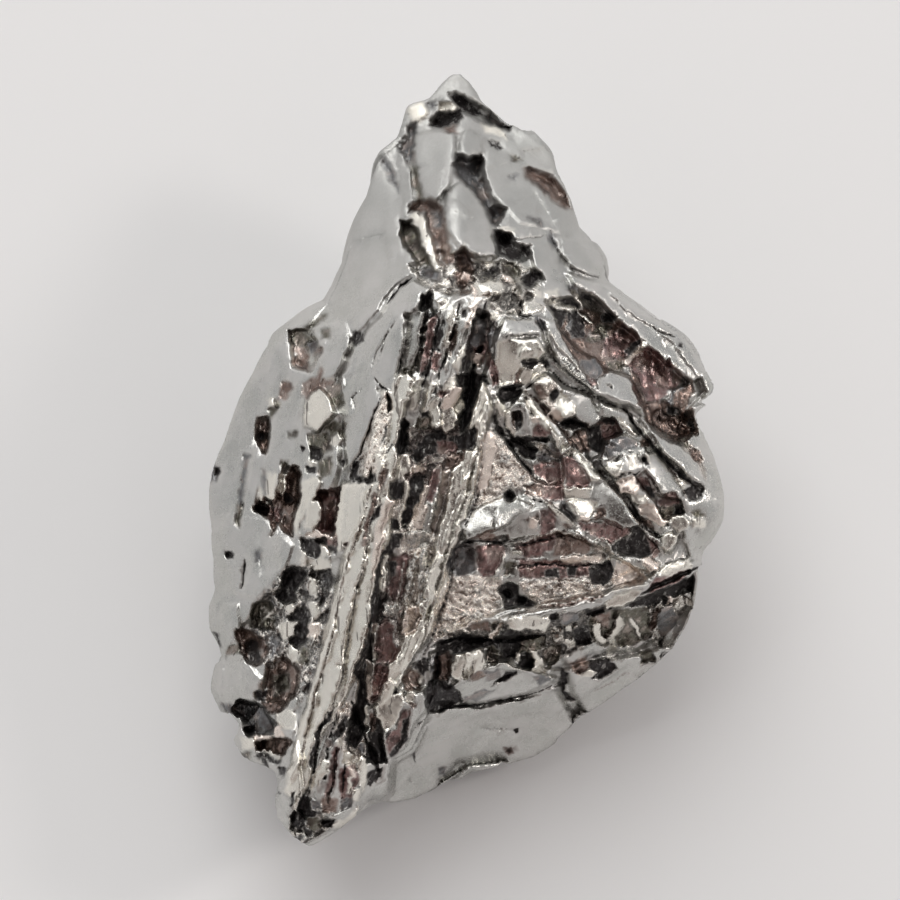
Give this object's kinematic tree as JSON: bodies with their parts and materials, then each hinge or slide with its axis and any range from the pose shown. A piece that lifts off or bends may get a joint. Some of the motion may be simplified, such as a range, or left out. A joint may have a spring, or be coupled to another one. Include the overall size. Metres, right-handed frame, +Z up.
{
  "type": "iron meteorite",
  "caption": "Small kite-shaped nugget of bright nickel-iron with a plated crest, torn ledges, dark hollows and a smooth belly, lying on its flattest side.",
  "frame": {"origin": "on the ground under the middle of the nugget's bounding box, where it rests", "axes": "+Z up from the ground, +Y along the nugget from its nose to the tip of its tail, +X to the right as seen from above with the tail pointing away"},
  "size_m": [0.0172, 0.026, 0.011],
  "materials": {
    "nickel_iron": "bright torn nickel-iron, satin on its plates, with dark oxide in the hollows"
  },
  "bodies": {
    "root": {"meteorite": "nickel_iron"}
  },
  "joints": []
}
